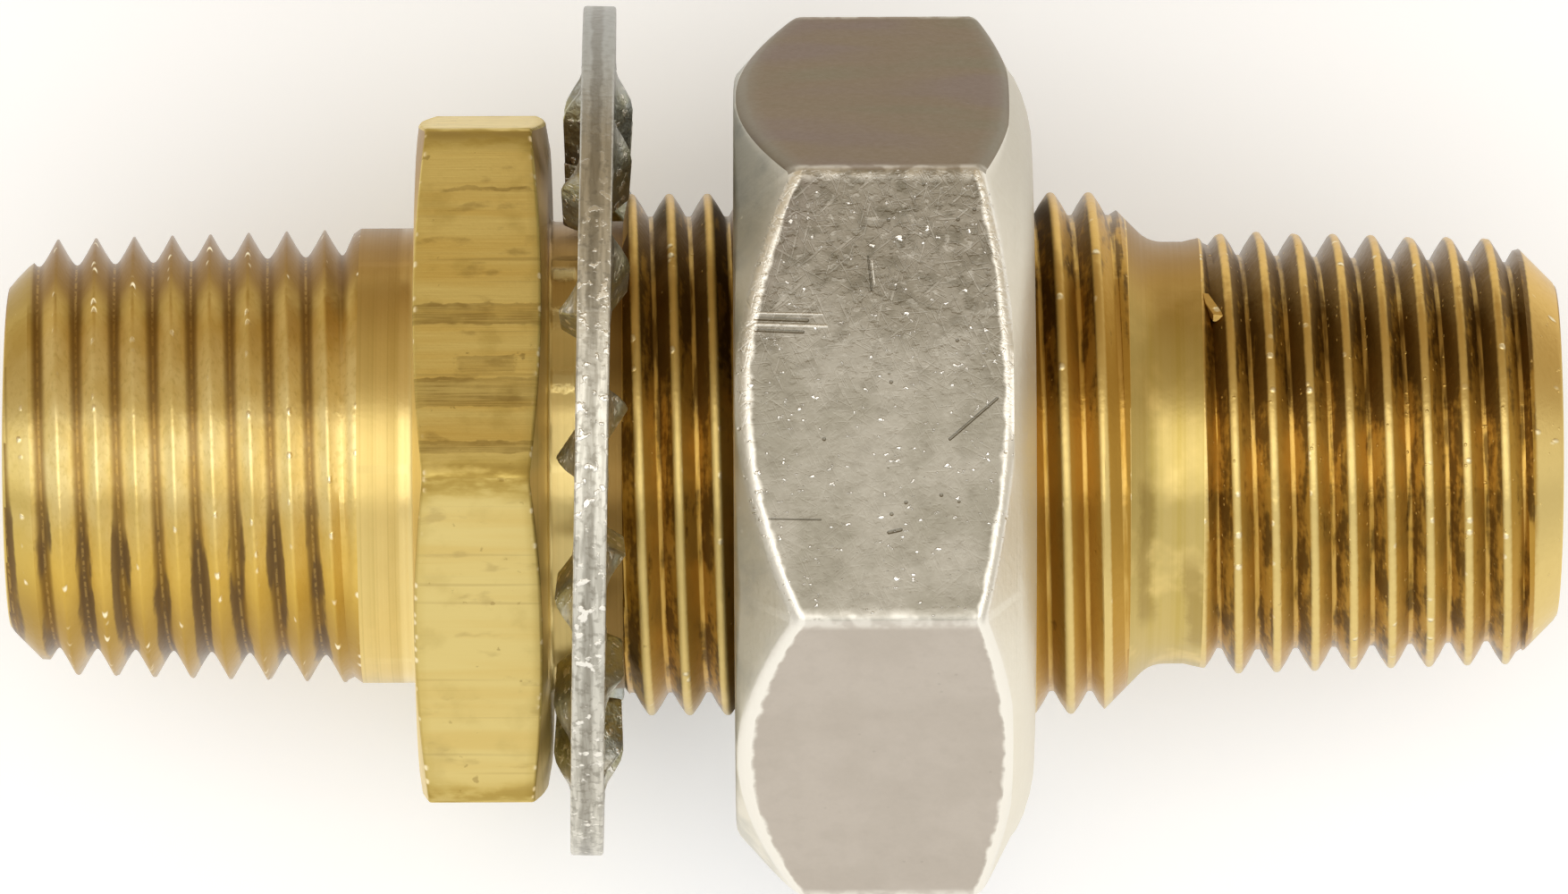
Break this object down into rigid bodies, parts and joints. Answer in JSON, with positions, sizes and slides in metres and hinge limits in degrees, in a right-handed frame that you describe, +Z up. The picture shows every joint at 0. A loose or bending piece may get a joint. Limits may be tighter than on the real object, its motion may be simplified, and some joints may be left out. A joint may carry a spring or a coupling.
{
  "type": "tank connector",
  "caption": "Brass bulkhead pipe fitting with a hex collar, tapered pipe threads on its ends, a twisted-tooth lock washer and a hex jam nut, for passing a pipe through a tank wall.",
  "frame": {"origin": "on the body's axis, at the collar's clamping face", "axes": "+X along the body's axis from the collar towards the nut, +Z up with the part lying on a flat of its nut"},
  "size_m": [0.0735, 0.0424, 0.0404],
  "materials": {
    "brass": "turned, with a drawn hex bar surface on the collar",
    "washer_steel": "zinc plated, scuffed",
    "nut_steel": "zinc plated, scratched, edges worn bright"
  },
  "bodies": {
    "fitting": {"fitting_body": "brass"},
    "washer": {"lock_washer": "washer_steel"},
    "nut": {"jam_nut": "nut_steel"}
  },
  "joints": [
    {"name": "nut_turn", "type": "hinge", "parent": "fitting", "child": "washer", "pos_m": [0, 0, 0], "axis": [1, 0, 0], "range_deg": [-720, 3600]},
    {"name": "nut_advance", "type": "slide", "parent": "washer", "child": "nut", "axis": [1, 0, 0], "range_m": [-0.00363, 0.01815]}
  ],
  "couplings": [
    {"joint": "nut_advance", "follows": "nut_turn", "m_per_rad": 0.00028875}
  ]
}
